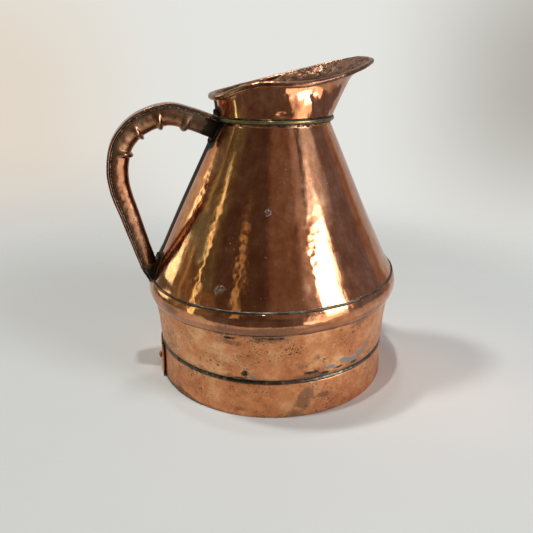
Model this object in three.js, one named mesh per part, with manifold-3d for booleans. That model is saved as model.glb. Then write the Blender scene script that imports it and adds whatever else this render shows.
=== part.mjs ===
// Copper jug: a conical body on a drum-shaped base, an open neck with a pouring spout,
// and a hollow soldered handle with four finger ridges.
// Millimetres, +Z up. The spout points along +X and the handle along -X.

import * as THREE from 'three';
import { mergeVertices } from 'three/addons/utils/BufferGeometryUtils.js';
import Module from 'manifold-3d';

const wasm = await Module();
wasm.setup();

// Driving dimensions
const sheet = 1.4; // thickness of the copper sheet
const gap = 0.35; // clearance kept between pieces that touch
const turns = 48; // facets round the jug

const footHeight = 35;
const footRadius = 118.2; // outside, at the table
const footTopRadius = 117.5;
const lapAngle = 14; // degrees of overlap where the foot band closes on itself
const lapEnd = 188; // azimuth of its outer end, just past the handle's line
const lapLift = 0.9; // how far the outer end springs away
const rivetHeight = 18;
const rivetAngle = 181;
const rivetShank = 1.9;
const rivetHead = 3.6;

const baseHeight = 28; // underside of the base plate
const bellyRadius = 118; // drum just above the foot band
const drumTopRadius = 121.9;
const bandBottom = 88; // lower edge of the shoulder band
const bandTop = 108.4;
const bandRadius = 127.4; // widest part of the jug
const coneBottomRadius = 123.6;
const coneBottom = 109.3;
const coneTopRadius = 54.8;
const coneTop = 254.6;

const ringHeight = 259.3; // middle of the brass ring
const ringRadius = 57.8;
const ringHalf = 1.7;
const collarBottom = ringHeight + ringHalf + gap;
const collarRadius = 56.15;

const wireRadius = 2.5; // wired edge round the mouth
const rimRadius = 59.2;
const spoutReach = 35;
const rimHeight = 288.6; // on the jug's axis
const rimSlope = 0.199;
const rimCurl = 1.9;
const spoutTwist = 2.5;
const rimWave = 6.9; // the near side is bent up here
const rimWaveAngle = -119;
const rimWaveWidth = 26;

const strapThickness = 2.8;
const handleBreadthTop = 22;
const handleBreadthEnd = 17;
const handleDepthTop = 20.8;
const handleDepthEnd = 16.4;
const ridgeHeight = 2.2;
const ridgeHalfWidth = 3.2;
const ridgeStations = [0.127, 0.255, 0.362, 0.487]; // fractions of the handle's length
const solderRadius = 1.5;

// The jug has settled a little out of true: its neck leans and its shoulder tilts
const neckLean = 1.8;
const coneShift = -2.05;
const shoulderTilt = 0.0216;

const radians = THREE.MathUtils.degToRad;
const smooth = THREE.MathUtils.smoothstep;
const mix = THREE.MathUtils.lerp;

const copper = (color, roughness) => new THREE.MeshStandardMaterial({ color, roughness, metalness: 1 });
const polishedCopper = copper(0x9c5433, 0.25);
const dullCopper = copper(0xa9623f, 0.45);
const brownCopper = copper(0x6b4228, 0.5);
const brass = copper(0xb89450, 0.35);
const solder = new THREE.MeshStandardMaterial({ color: 0x4a5048, roughness: 0.6, metalness: 0.7 });

// Geometry helpers

function finish(geometry) {
  geometry.deleteAttribute('normal');
  geometry.deleteAttribute('uv');
  const merged = mergeVertices(geometry, 1e-4);
  const p = merged.getAttribute('position');
  const index = merged.getIndex().array;
  const [a, b, c] = [new THREE.Vector3(), new THREE.Vector3(), new THREE.Vector3()];
  const kept = [];
  let volume = 0;
  for (let i = 0; i < index.length; i += 3) {
    const [u, v, w] = [index[i], index[i + 1], index[i + 2]];
    if (u !== v && v !== w && w !== u) {
      kept.push(u, v, w);
      a.fromBufferAttribute(p, u);
      b.fromBufferAttribute(p, v);
      c.fromBufferAttribute(p, w);
      volume += a.dot(b.cross(c));
    }
  }
  // a body that came out inside out is turned
  merged.setIndex(volume < 0 ? kept.reverse() : kept);
  return merged;
}

// Joins rows of points, each a closed loop of the same count, into one closed body
function skin(rows, closed) {
  const count = rows[0].length;
  const positions = rows.flat().flatMap((point) => point.toArray());
  const index = [];
  const steps = closed ? rows.length : rows.length - 1;
  for (let i = 0; i < steps; i += 1) {
    const next = (i + 1) % rows.length;
    for (let j = 0; j < count; j += 1) {
      const beside = (j + 1) % count;
      const [p, q] = [i * count + j, i * count + beside];
      const [r, s] = [next * count + beside, next * count + j];
      index.push(p, q, r, p, r, s);
    }
  }
  if (!closed) {
    capLoop(index, 0, count, true);
    capLoop(index, (rows.length - 1) * count, count, false);
  }
  const geometry = new THREE.BufferGeometry();
  geometry.setAttribute('position', new THREE.Float32BufferAttribute(positions, 3));
  geometry.setIndex(index);
  return finish(geometry);
}

// Closes a loop by joining its first half across to its second half
function capLoop(index, first, count, flipped) {
  for (let k = 0; k + 1 <= count - 2 - k; k += 1) {
    const [p, q] = [first + k, first + k + 1];
    const [r, s] = [first + count - 2 - k, first + count - 1 - k];
    const faces = q === r ? [[p, q, s]] : [[p, q, s], [q, r, s]];
    for (const face of faces) {
      index.push(...(flipped ? face.reverse() : face));
    }
  }
}

const polar = (radius, angle, z) => new THREE.Vector3(radius * Math.cos(angle), radius * Math.sin(angle), z);

// A ring: one closed profile of [radius, height] carried round the jug's axis
function ring(profile) {
  const rows = [];
  for (let i = 0; i < turns; i += 1) {
    const angle = (i / turns) * 2 * Math.PI;
    rows.push(profile.map(([radius, z]) => polar(radius, angle, z)));
  }
  return skin(rows, true);
}

// A wall of sheet: its outer profile, and the same line moved in by the sheet
function wall(outer) {
  const inner = outer.map(([radius, z]) => [radius - sheet, z]).reverse();
  return ring([...outer, ...inner]);
}

// A solid turned about +Z from a profile that starts and ends on the axis
function turned(profile, segments) {
  const points = profile.map(([radius, z]) => new THREE.Vector2(radius, z));
  return finish(new THREE.LatheGeometry(points, segments).rotateX(Math.PI / 2));
}

// A tube round a closed loop; reference is any direction that the loop never runs along
function tubeLoop(centre, count, radius, sides, reference) {
  const rows = [];
  for (let i = 0; i < count; i += 1) {
    const here = centre(i / count);
    const along = centre((i + 0.1) / count).sub(centre((i - 0.1) / count)).normalize();
    const side = along.clone().cross(reference).normalize();
    const up = side.clone().cross(along);
    const row = [];
    for (let j = 0; j < sides; j += 1) {
      const turn = (j / sides) * 2 * Math.PI;
      const offset = side.clone().multiplyScalar(radius * Math.cos(turn));
      offset.addScaledVector(up, radius * Math.sin(turn));
      row.push(here.clone().add(offset));
    }
    rows.push(row);
  }
  return skin(rows, true);
}

function toSolid(geometry) {
  const vertProperties = new Float32Array(geometry.getAttribute('position').array);
  const triVerts = new Uint32Array(geometry.getIndex().array);
  return new wasm.Manifold(new wasm.Mesh({ numProp: 3, vertProperties, triVerts }));
}

function cut(geometry, tool) {
  const mesh = toSolid(geometry).subtract(toSolid(tool)).getMesh();
  const result = new THREE.BufferGeometry();
  result.setAttribute('position', new THREE.Float32BufferAttribute(mesh.vertProperties, 3));
  result.setIndex(Array.from(mesh.triVerts));
  return finish(result);
}

// Foot and base

function footBand() {
  const lap = radians(lapAngle);
  const full = 2 * Math.PI;
  const steps = turns + 6;
  const rows = [];
  for (let i = 0; i <= steps; i += 1) {
    const run = (i / steps) * (full + lap);
    const step = (sheet + gap + 0.1) * smooth(run, full - lap, full - lap * 0.2);
    const away = step + lapLift * smooth(run, full + lap * 0.4, full + lap);
    const angle = radians(lapEnd) - lap + run;
    rows.push([
      polar(footRadius - sheet + away, angle, 0),
      polar(footRadius + away, angle, 0),
      polar(footTopRadius + away, angle, footHeight),
      polar(footTopRadius - sheet + away, angle, footHeight),
    ]);
  }
  const drill = new THREE.CylinderGeometry(rivetShank + gap, rivetShank + gap, 20, 12);
  drill.rotateZ(Math.PI / 2).translate(footRadius, 0, rivetHeight).rotateZ(radians(rivetAngle));
  return cut(skin(rows, false), finish(drill));
}

function footRivet() {
  const inside = footRadius - sheet - 0.35 - gap;
  const outside = inside + 2 * sheet + 3 * gap + 0.5;
  const profile = [
    [0, inside - 1.2], [2.6, inside - 1], [3.2, inside], [rivetShank, inside],
    [rivetShank, outside], [rivetHead, outside], [3.1, outside + 1.2], [1.6, outside + 1.9],
    [0, outside + 2.1],
  ];
  return turned(profile, 14).rotateY(Math.PI / 2).rotateZ(radians(rivetAngle)).translate(0, 0, rivetHeight);
}

const footSolder = () => ring([
  [footTopRadius - sheet, footHeight + gap], [footTopRadius + 0.2, footHeight + gap],
  [footTopRadius - 0.4, footHeight + 1.8], [footTopRadius - 1.3, footHeight + 2.2],
]);

function basePlate() {
  const edge = footTopRadius - 2 * sheet - 3 * gap;
  return turned([[0, baseHeight], [edge, baseHeight], [edge, baseHeight + sheet], [0, baseHeight + sheet]], turns);
}

const baseSolder = () => ring([
  [footTopRadius - sheet - gap, baseHeight - gap - 0.1], [footTopRadius - sheet - gap, baseHeight - 2],
  [footTopRadius - 5.5, baseHeight - gap - 0.1],
]);

// Drum, shoulder and cone

function lowerBody() {
  const neck = footTopRadius - sheet - gap; // the part that stands inside the foot band
  return wall([
    [neck, baseHeight], [neck, footHeight + 1.6], [bellyRadius - 0.7, footHeight + 5.5],
    [bellyRadius, footHeight + 10], [bellyRadius + 1.4, 66], [drumTopRadius, 86], [drumTopRadius, 95],
  ]);
}

const bandSolder = () => ring([
  [drumTopRadius + gap, bandBottom - gap], [drumTopRadius + gap, bandBottom - 1.7],
  [drumTopRadius + 1.5, bandBottom - gap],
]);

function shoulderBand() {
  const outer = [
    [drumTopRadius + 2 * gap + sheet, bandBottom], [bandRadius - 1.7, 93], [bandRadius - 0.4, 98.5],
    [bandRadius, 102.5], [bandRadius - 0.5, 105.6], [bandRadius - 1.4, 107.4], [bandRadius - 2.4, bandTop],
  ];
  const inner = [
    [coneBottomRadius + gap, bandTop], [bandRadius - 2.8, 105.8], [bandRadius - 1.5, 102],
    [bandRadius - 1.9, 98], [bandRadius - 3.1, 93], [drumTopRadius + 2 * gap, bandBottom],
  ];
  return ring([...outer, ...inner]);
}

const shoulderSolder = () => ring([
  [coneBottomRadius + gap, bandTop + gap], [coneBottomRadius + 1.8, bandTop + gap],
  [coneBottomRadius + 1.6, bandTop + 1.5], [coneBottomRadius + 0.4, bandTop + 2],
]);

function coneBody() {
  const spigot = collarRadius - sheet - gap; // stands inside the ring and the collar
  return wall([
    [coneBottomRadius, bandTop - 5], [coneBottomRadius, coneBottom],
    [mix(coneBottomRadius, coneTopRadius, 0.5), mix(coneBottom, coneTop, 0.5)],
    [coneTopRadius, coneTop], [spigot, coneTop + 1.4], [spigot, collarBottom + 4.5],
  ]);
}

// Neck

const neckRing = () => ring([
  [collarRadius - sheet, ringHeight - ringHalf], [ringRadius - 1.2, ringHeight - ringHalf],
  [ringRadius, ringHeight - 0.6], [ringRadius, ringHeight + 0.6],
  [ringRadius - 1.2, ringHeight + ringHalf], [collarRadius - sheet, ringHeight + ringHalf],
]);

const neckSolderLower = () => ring([
  [collarRadius - sheet, ringHeight - ringHalf - gap], [ringRadius - 1, ringHeight - ringHalf - gap],
  [collarRadius - sheet + 0.15, ringHeight - ringHalf - 1.5],
]);

const neckSolderUpper = () => ring([
  [collarRadius + gap, collarBottom], [ringRadius - 0.3, collarBottom], [collarRadius + 0.75, collarBottom + 1],
]);

// How far round to the front an azimuth is, from 0 at the handle to 1 at the spout
const frontness = (angle) => (1 + Math.cos(angle)) / 2;

// Centre line of the wired edge
function rimPoint(angle) {
  const front = frontness(angle);
  const x = rimRadius * Math.cos(angle) + spoutReach * front ** 2;
  const turn = Math.atan2(Math.sin(angle - radians(rimWaveAngle)), Math.cos(angle - radians(rimWaveAngle)));
  const wave = rimWave * Math.exp(-((turn / radians(rimWaveWidth)) ** 2));
  const twist = spoutTwist * Math.sin(angle) * front ** 1.5;
  const z = rimHeight + rimSlope * x + rimCurl * (x / 60) ** 2 + twist + wave;
  return new THREE.Vector3(x, rimRadius * Math.sin(angle), z);
}

const rimSamples = Array.from({ length: 360 }, (_, i) => rimPoint(radians(i)));

// Outside of the collar: it rises from a circle and flares out to the rim, late at the back
// and steadily under the spout. Rise runs from 0 to 1 at the centre of the wire.
function collarPoint(angle, rise) {
  const foot = polar(collarRadius, angle, collarBottom);
  const rim = rimPoint(angle);
  const spread = rise ** mix(4.5, 1.35, frontness(angle));
  return new THREE.Vector3(mix(foot.x, rim.x, spread), mix(foot.y, rim.y, spread), mix(foot.z, rim.z, rise));
}

// How far up the collar can rise at an azimuth before it meets the wire
function riseBelowWire(angle) {
  const reach = wireRadius + gap + 0.1;
  let [low, high] = [0.4, 1];
  for (let i = 0; i < 16; i += 1) {
    const rise = (low + high) / 2;
    const here = collarPoint(angle, rise);
    const nearest = Math.min(...rimSamples.map((point) => point.distanceTo(here)));
    [low, high] = nearest > reach ? [rise, high] : [low, rise];
  }
  return low;
}

function neckCollar() {
  const steps = 6;
  const rows = [];
  for (let i = 0; i < turns; i += 1) {
    const angle = (i / turns) * 2 * Math.PI;
    const last = riseBelowWire(angle);
    const outer = [];
    const inner = [];
    for (let j = 0; j <= steps; j += 1) {
      const rise = last * (1 - (1 - j / steps) ** 1.3);
      const here = collarPoint(angle, rise);
      const up = collarPoint(angle, rise + 0.01).sub(here);
      const round = collarPoint(angle + 0.02, rise).sub(collarPoint(angle - 0.02, rise));
      const inward = up.cross(round).normalize();
      outer.push(here);
      inner.unshift(here.clone().addScaledVector(inward, sheet));
    }
    rows.push([...outer, ...inner]);
  }
  return skin(rows, true);
}

const rimWire = () => tubeLoop((f) => rimPoint(f * 2 * Math.PI), turns, wireRadius, 7, new THREE.Vector3(0, 0, 1));

// Handle

// Outer face of the handle's back strap, from the neck over the top and down to the shoulder
const handleLine = new THREE.CatmullRomCurve3([
  [-50, 259], [-78.3, 269.6], [-99, 274.2], [-121.3, 269.4], [-139.8, 258.6], [-153.2, 241.4],
  [-158.8, 217], [-156.9, 195.6], [-147.4, 166], [-133.4, 124.1], [-127.8, 105.5],
].map(([x, z]) => new THREE.Vector3(x, 0, z)));

const handleBreadth = (f) => mix(handleBreadthTop, handleBreadthEnd, smooth(f, 0.3, 1));
const handleDepth = (f) => mix(handleDepthTop, handleDepthEnd, smooth(f, 0.45, 0.95));

function ridgeRise(f) {
  const length = handleLine.getLength();
  const away = Math.min(...ridgeStations.map((station) => Math.abs(f - station) * length));
  return away < ridgeHalfWidth ? ridgeHeight * Math.cos((away / ridgeHalfWidth) * Math.PI / 2) : 0;
}

// Sweeps a section along the handle. The section lists [inward, sideways] points.
function alongHandle(stations, section) {
  const sideways = new THREE.Vector3(0, 1, 0);
  const rows = stations.map((f) => {
    const here = handleLine.getPointAt(f);
    const inward = handleLine.getTangentAt(f).cross(sideways).normalize();
    return section(f).map(([n, b]) => here.clone().addScaledVector(inward, n).addScaledVector(sideways, b));
  });
  return skin(rows, false);
}

const evenStations = (count) => Array.from({ length: count + 1 }, (_, i) => i / count);

// The round side of the grip, an open channel whose edges meet the back strap
function gripArc(f, shrink, rise) {
  const half = handleBreadth(f) / 2 - shrink;
  const edge = strapThickness + gap;
  const depth = handleDepth(f) - shrink - edge;
  const arc = [];
  for (let i = 0; i <= 6; i += 1) {
    const turn = (i / 6) * Math.PI;
    const bulge = rise * Math.sin(turn) ** 0.5;
    const across = Math.sign(Math.cos(turn)) * Math.abs(Math.cos(turn)) ** 0.8;
    arc.push([edge + depth * Math.sin(turn) ** 0.75 + bulge * Math.sin(turn), (half + bulge) * across]);
  }
  return arc;
}

function handleGrip() {
  const plain = evenStations(34);
  const reach = ridgeHalfWidth / handleLine.getLength();
  const bumps = ridgeStations.flatMap((s) => [-1, -0.5, 0, 0.5, 1].map((k) => s + k * reach));
  const clear = plain.filter((f) => ridgeStations.every((s) => Math.abs(f - s) > reach * 1.3));
  const stations = [...clear, ...bumps].sort((p, q) => p - q);
  const channel = alongHandle(stations, (f) => [...gripArc(f, 0, ridgeRise(f)), ...gripArc(f, sheet, 0).reverse()]);
  return cut(channel, jugEnvelope());
}

function handleStrap() {
  const section = (f) => {
    const half = handleBreadth(f) / 2 + 0.5;
    return [
      [0, 1.2 - half], [0, half - 1.2], [1, half],
      [strapThickness, half], [strapThickness, -half], [1, -half],
    ];
  };
  return cut(alongHandle(evenStations(40), section), jugEnvelope());
}

// The solder line between grip and strap, on one side of the handle
function handleSeam(side) {
  const edge = strapThickness + gap;
  const section = (f) => {
    const half = handleBreadth(f) / 2;
    return [[edge, side * (half + gap)], [edge, side * (half + 1.1)], [edge + 1.8, side * (half + gap)]];
  };
  return cut(alongHandle(evenStations(40), section), jugEnvelope());
}

// Outside of the jug behind the handle, with clearance, as [radius, height] points
const envelopeProfile = [
  [drumTopRadius, 90], [bandRadius - 0.6, 93], [bandRadius + 0.4, 98.5], [bandRadius + gap + 0.1, 102.5],
  [bandRadius, 105.6], [bandRadius - 1, 107.9], [coneBottomRadius + 2.2, bandTop + 1],
  [coneBottomRadius + 1.8, bandTop + 3.4], [coneBottomRadius - 0.6, bandTop + 4],
  [coneTopRadius + 0.45, coneTop], [coneTopRadius + 0.4, ringHeight - ringHalf - 1.9],
  [ringRadius + 0.1, ringHeight - ringHalf - 0.3], [ringRadius + gap + 0.1, ringHeight - 0.7],
  [ringRadius + gap + 0.1, ringHeight + 0.7], [ringRadius + 0.1, collarBottom],
  [collarRadius + gap + 0.2, collarBottom + 1.9], [collarRadius + gap + 0.2, collarBottom + 8],
];

function jugEnvelope() {
  const [lowest, highest] = [envelopeProfile[0][1], envelopeProfile.at(-1)[1]];
  return turned([[0, lowest], ...envelopeProfile, [0, highest]], turns);
}

function envelopeRadius(z) {
  const next = envelopeProfile.findIndex(([, height]) => height >= z);
  const [upper, lower] = [envelopeProfile[next], envelopeProfile[next - 1]];
  return mix(lower[0], upper[0], (z - lower[1]) / (upper[1] - lower[1]));
}

// Room that the handle's pieces take up together, with clearance
function handleRoom() {
  const section = (f) => {
    const half = handleBreadth(f) / 2 + 1.1 + gap;
    const depth = handleDepth(f) + gap;
    return [
      [-gap, -half], [-gap, half], [depth * 0.5, half], [depth * 0.86, half * 0.66], [depth, 0.2 * half],
      [depth, -0.2 * half], [depth * 0.86, -half * 0.66], [depth * 0.5, -half],
    ];
  };
  return alongHandle(evenStations(40), section);
}

// A bead of solder on the jug's wall, round one end of the handle, in a rounded square
function jointSolder(middle, halfHeight, halfBreadth) {
  const square = (value) => Math.sign(value) * Math.abs(value) ** 0.6;
  const loop = (f) => {
    const turn = f * 2 * Math.PI;
    const y = halfBreadth * square(Math.sin(turn));
    const z = middle + halfHeight * square(Math.cos(turn));
    const radius = envelopeRadius(z) + solderRadius;
    return new THREE.Vector3(-Math.sqrt(radius ** 2 - y ** 2), y, z);
  };
  return cut(tubeLoop(loop, 36, solderRadius, 6, new THREE.Vector3(-1, 0, 0)), handleRoom());
}

// Assembly

const jug = new THREE.Group();

function settle(geometry) {
  const p = geometry.getAttribute('position');
  for (let i = 0; i < p.count; i += 1) {
    const [x, z] = [p.getX(i), p.getZ(i)];
    const climb = THREE.MathUtils.clamp((z - coneBottom) / (coneTop - coneBottom), 0, 1);
    const lean = mix(coneShift, neckLean, climb) * smooth(climb, 0, 0.1);
    const tilt = shoulderTilt * x * smooth(z, 40, bandBottom) * (1 - smooth(z, 115, 190));
    p.setXYZ(i, x + lean, p.getY(i), z + tilt);
  }
  return geometry;
}

function add(name, geometry, material) {
  const mesh = new THREE.Mesh(settle(geometry), material);
  mesh.name = name;
  jug.add(mesh);
}

add('foot_band', footBand(), dullCopper);
add('foot_rivet', footRivet(), dullCopper);
add('foot_solder', footSolder(), solder);
add('base_plate', basePlate(), dullCopper);
add('base_solder', baseSolder(), solder);
add('lower_body', lowerBody(), dullCopper);
add('band_solder', bandSolder(), solder);
add('shoulder_band', shoulderBand(), polishedCopper);
add('shoulder_solder', shoulderSolder(), solder);
add('cone_body', coneBody(), polishedCopper);
add('neck_solder_lower', neckSolderLower(), solder);
add('neck_ring', neckRing(), brass);
add('neck_solder_upper', neckSolderUpper(), solder);
add('neck_collar', neckCollar(), polishedCopper);
add('rim_wire', rimWire(), brownCopper);
add('handle_grip', handleGrip(), brownCopper);
add('handle_strap', handleStrap(), brownCopper);
add('handle_seam_near', handleSeam(-1), solder);
add('handle_seam_far', handleSeam(1), solder);
add('handle_top_solder', jointSolder(252, 14.2, 14), solder);
add('handle_bottom_solder', jointSolder(120, 10.6, 11.5), solder);

// The origin is under the middle of the whole jug, on the table
const middle = new THREE.Box3().setFromObject(jug).getCenter(new THREE.Vector3());
jug.position.set(-middle.x, -middle.y, 0);

export default jug;
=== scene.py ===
import math

import bmesh
import bpy
import numpy as np
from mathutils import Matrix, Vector


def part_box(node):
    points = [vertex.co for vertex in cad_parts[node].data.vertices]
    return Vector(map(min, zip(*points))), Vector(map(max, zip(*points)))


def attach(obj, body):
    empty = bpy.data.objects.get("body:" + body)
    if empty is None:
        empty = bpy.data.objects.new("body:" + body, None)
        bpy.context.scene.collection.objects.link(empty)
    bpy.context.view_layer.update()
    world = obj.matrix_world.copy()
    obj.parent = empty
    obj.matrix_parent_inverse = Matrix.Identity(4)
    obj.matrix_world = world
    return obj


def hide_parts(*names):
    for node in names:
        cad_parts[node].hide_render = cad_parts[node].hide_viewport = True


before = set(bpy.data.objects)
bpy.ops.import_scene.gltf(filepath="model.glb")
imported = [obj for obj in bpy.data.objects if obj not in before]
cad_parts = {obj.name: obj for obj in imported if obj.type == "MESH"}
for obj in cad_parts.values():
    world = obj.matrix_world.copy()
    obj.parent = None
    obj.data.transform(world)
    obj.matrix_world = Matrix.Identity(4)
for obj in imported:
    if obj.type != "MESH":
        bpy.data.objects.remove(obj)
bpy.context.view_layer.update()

# Shapes are worked out in millimetres in the jug's own frame, whose axis stands at bandMiddle,
# and are turned into metres when a mesh is made
mm = 0.001
bandLow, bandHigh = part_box("shoulder_band")
bandMiddle = (bandLow.x + bandHigh.x) / 2 / mm
fullTurn = 2 * math.pi
flowRadius = 60  # streaks along a wall read their place on a cylinder of this radius

# How the finished jug has settled: the cone's shift and lean in mm, the slope of the shoulder, and the
# heights between which the slope comes and goes
settling = {
    "coneBottom": 109.3, "coneTop": 254.6, "coneShift": -2.05, "neckLean": 1.8, "shiftShare": 0.1,
    "shoulderTilt": 0.0216, "tiltComes": (40, 88), "tiltGoes": (115, 190),
}


# Helpers for shapes

def smoothStep(value, start, end):
    # 0 before start, 1 after end, and 3t^2 - 2t^3 between
    t = np.clip((value - start) / (end - start), 0, 1)
    return t * t * (3 - 2 * t)


def mix(a, b, share):
    # a at share 0, b at share 1, and in proportion between
    return a + (b - a) * share


def settle(points):
    # the cone stands a little off the axis and leans towards the spout, by a share that grows up it,
    # and the shoulder is lower at the handle by a slope times x
    x, y, z = np.moveaxis(points, -1, 0)
    s = settling
    climb = np.clip((z - s["coneBottom"]) / (s["coneTop"] - s["coneBottom"]), 0, 1)
    lean = mix(s["coneShift"], s["neckLean"], climb) * smoothStep(climb, 0, s["shiftShare"])
    tilt = s["shoulderTilt"] * x * smoothStep(z, *s["tiltComes"]) * (1 - smoothStep(z, *s["tiltGoes"]))
    return np.stack([x + lean, y, z + tilt], -1)


def evenly(line, count):
    # points at equal steps of length along a line
    run = np.concatenate([[0], np.cumsum(np.linalg.norm(np.diff(line, axis=0), axis=1))])
    at = np.linspace(0, run[-1], count)
    return np.stack([np.interp(at, run, line[:, k]) for k in range(line.shape[1])], 1)


def curveThrough(points, count):
    # centripetal Catmull-Rom curve: between two points a cubic whose slopes come from the neighbours,
    # each weighed by the square root of its distance
    p = np.asarray(points, float)
    padded = np.vstack([2 * p[0] - p[1], p, 2 * p[-1] - p[-2]])
    at = np.linspace(0, len(p) - 1, 80 * len(p))
    i = np.minimum(at.astype(int), len(p) - 2)
    t = (at - i)[:, None]
    a, b, c, d = (padded[i + k] for k in range(4))
    steps = np.sqrt(np.linalg.norm(np.diff(padded, axis=0), axis=1))[:, None]
    before, here, after = (steps[i + k] for k in range(3))
    leave = here * ((b - a) / before - (c - a) / (before + here) + (c - b) / here)
    reach = here * ((c - b) / here - (d - b) / (here + after) + (d - c) / after)
    line = b + t * (leave + t * (3 * (c - b) - 2 * leave - reach + t * (2 * (b - c) + leave + reach)))
    return evenly(line, count)


def lumps(points, size, seed):
    # smooth random values from -1 to 1: random numbers on a lattice of cells of that size,
    # blended inside each cell with smooth weights
    lattice = np.random.default_rng(seed).uniform(-1, 1, (32, 32, 32))
    place = points / np.asarray(size, float)
    cell = np.floor(place).astype(int)
    t = place - cell
    t = t * t * (3 - 2 * t)
    total = np.zeros(points.shape[:-1])
    for corner in np.ndindex(2, 2, 2):
        weight = np.prod(np.where(corner, t, 1 - t), axis=-1)
        i, j, k = np.moveaxis((cell + corner) % 32, -1, 0)
        total += weight * lattice[i, j, k]
    return total


def blows(points, size, seed):
    # hammer marks: the squared distance to the nearest of one scattered blow in each lattice cell,
    # less about its mean, so each mark is a shallow dish that ends in a ridge at its neighbours
    lattice = np.random.default_rng(seed).uniform(0.1, 0.9, (32, 32, 32, 3))
    place = points / np.asarray(size, float)
    cell = np.floor(place).astype(int)
    nearest = np.full(points.shape[:-1], 9.0)
    for corner in np.ndindex(3, 3, 3):
        spot = cell + np.array(corner) - 1
        i, j, k = np.moveaxis(spot % 32, -1, 0)
        away = np.sum((place - spot - lattice[i, j, k]) ** 2, axis=-1)
        nearest = np.minimum(nearest, away)
    return nearest - 0.3


def unit(vectors):
    # each vector divided by its own length
    return vectors / np.linalg.norm(vectors, axis=-1, keepdims=True)


def uneven(points, waves, hammered=()):
    # sum of lumps and of hammer marks, each given as its depth and size in mm and its seed
    total = np.zeros(points.shape[:-1])
    for depth, size, seed in waves:
        total += depth * lumps(points, size, seed)
    for depth, size, seed in hammered:
        total += depth * blows(points, size, seed)
    return total


def sheetSection(outer, thickness, skip=3):
    # closed section of a sheet: its outer line upward, a round edge, the inner line down, a round edge
    along = unit(np.gradient(outer, axis=0))
    outward = np.stack([along[:, 1], -along[:, 0]], 1)
    middle = outer - outward * thickness / 2
    turn = np.linspace(0, np.pi, 7)[1:-1, None]
    top = middle[-1] + thickness / 2 * (outward[-1] * np.cos(turn) + along[-1] * np.sin(turn))
    bottom = middle[0] - thickness / 2 * (outward[0] * np.cos(turn) + along[0] * np.sin(turn))
    inner = (outer - outward * thickness)[::-1][::skip]
    return np.vstack([outer, top, inner, bottom])


def turned(radius, angle, height):
    # points about the jug's axis: radius times the angle's cosine and sine, and the height
    return np.stack([radius * np.cos(angle), radius * np.sin(angle), height + 0 * angle], -1)


def carried(profile, turns, push=None):
    # a profile of [radius, height] carried round the axis; push(points) moves it outward
    angle = np.linspace(0, fullTurn, turns, endpoint=False)[:, None]
    radius, height = profile.T
    points = turned(radius, angle, height)
    if push:
        points = turned(radius + push(points), angle, height)
    return points


def spotOn(points, azimuth, height):
    # distances in mm along the wall from a place given by azimuth in degrees and height
    angle = np.arctan2(points[..., 1], points[..., 0])
    radius = np.hypot(points[..., 0], points[..., 1])
    apart = (angle - math.radians(azimuth) + np.pi) % fullTurn - np.pi
    return radius * apart, points[..., 2] - height


def dents(points, places):
    # each place is azimuth, height, breadth, tall and depth; a dent sinks by its depth at its middle and
    # dies away as exp(-d^2), with d counted in its own breadth and tallness
    total = np.zeros(points.shape[:-1])
    for azimuth, height, breadth, tall, depth in places:
        across, up = spotOn(points, azimuth, height)
        total -= depth * np.exp(-((across / breadth) ** 2) - (up / tall) ** 2)
    return total


def patches(points, places):
    # each place is azimuth, height, breadth and tall; the strongest of their marks, which are 1 at the
    # middle and fall off as exp(-d^2)
    total = np.zeros(points.shape[:-1])
    for azimuth, height, breadth, tall in places:
        across, up = spotOn(points, azimuth, height)
        total = np.maximum(total, np.exp(-((across / breadth) ** 2) - (up / tall) ** 2))
    return total


# Meshes

def makeMesh(name, points, quads, marks):
    # vertices in metres, faces turned so that the volume they close is positive
    corners = points[quads]
    a, b, c, d = (corners[:, k] for k in range(4))
    volume = np.sum(a * (np.cross(b, c) + np.cross(c, d)))
    if volume < 0:
        quads = quads[:, ::-1]
    mesh = bpy.data.meshes.new(name)
    mesh.vertices.add(len(points))
    mesh.vertices.foreach_set("co", (points * mm).ravel())
    mesh.loops.add(quads.size)
    mesh.loops.foreach_set("vertex_index", quads.ravel())
    mesh.polygons.add(len(quads))
    mesh.polygons.foreach_set("loop_start", np.arange(0, quads.size, 4))
    mesh.polygons.foreach_set("use_smooth", np.ones(len(quads), bool))
    for mark, values in marks.items():
        kind, key = ("FLOAT_VECTOR", "vector") if mark == "flow" else ("FLOAT", "value")
        layer = mesh.attributes.new(mark, kind, "POINT")
        layer.data.foreach_set(key, np.ascontiguousarray(values, dtype=np.float32).ravel())
    mesh.update(calc_edges=True)
    return mesh


def closePoles(mesh):
    # points that lie on one another become one, so fans and poles are closed
    shape = bmesh.new()
    shape.from_mesh(mesh)
    bmesh.ops.remove_doubles(shape, verts=shape.verts, dist=1e-7)
    shape.to_mesh(mesh)
    shape.free()


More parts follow.
